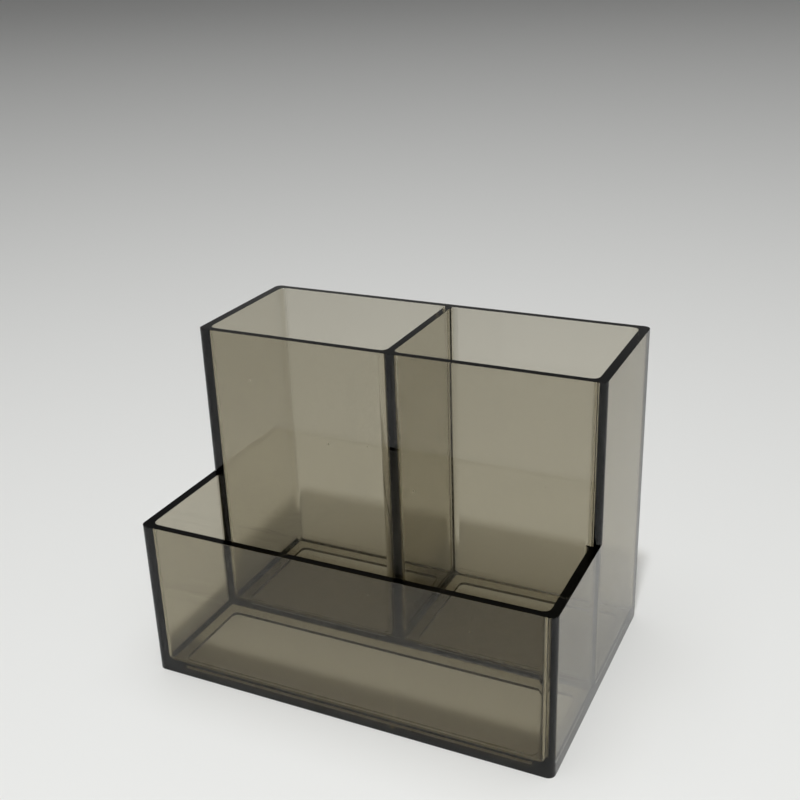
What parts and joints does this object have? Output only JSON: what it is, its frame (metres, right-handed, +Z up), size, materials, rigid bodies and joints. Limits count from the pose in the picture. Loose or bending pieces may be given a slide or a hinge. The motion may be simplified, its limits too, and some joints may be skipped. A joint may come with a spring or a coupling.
{
  "type": "brush holder",
  "caption": "Stepped desk holder of transparent smoke-grey acrylic sheet: an open low tray in front of tall open compartments for brushes.",
  "frame": {"origin": "centre of the footprint, on the surface that the holder stands on", "axes": "+X to the holder's right seen from the front, -Y is the front with the tray, +Z up"},
  "size_m": [0.135, 0.0904, 0.1045],
  "materials": {
    "smoke_acrylic": "transparent smoke grey with a warm olive tint, polished, edges near black"
  },
  "bodies": {
    "root": {"left_side_panel": "smoke_acrylic", "right_side_panel": "smoke_acrylic", "back_panel": "smoke_acrylic", "compartment_front_panel": "smoke_acrylic", "compartment_divider": "smoke_acrylic", "tray_front_panel": "smoke_acrylic", "tray_floor": "smoke_acrylic", "left_compartment_floor": "smoke_acrylic", "right_compartment_floor": "smoke_acrylic"}
  },
  "joints": []
}
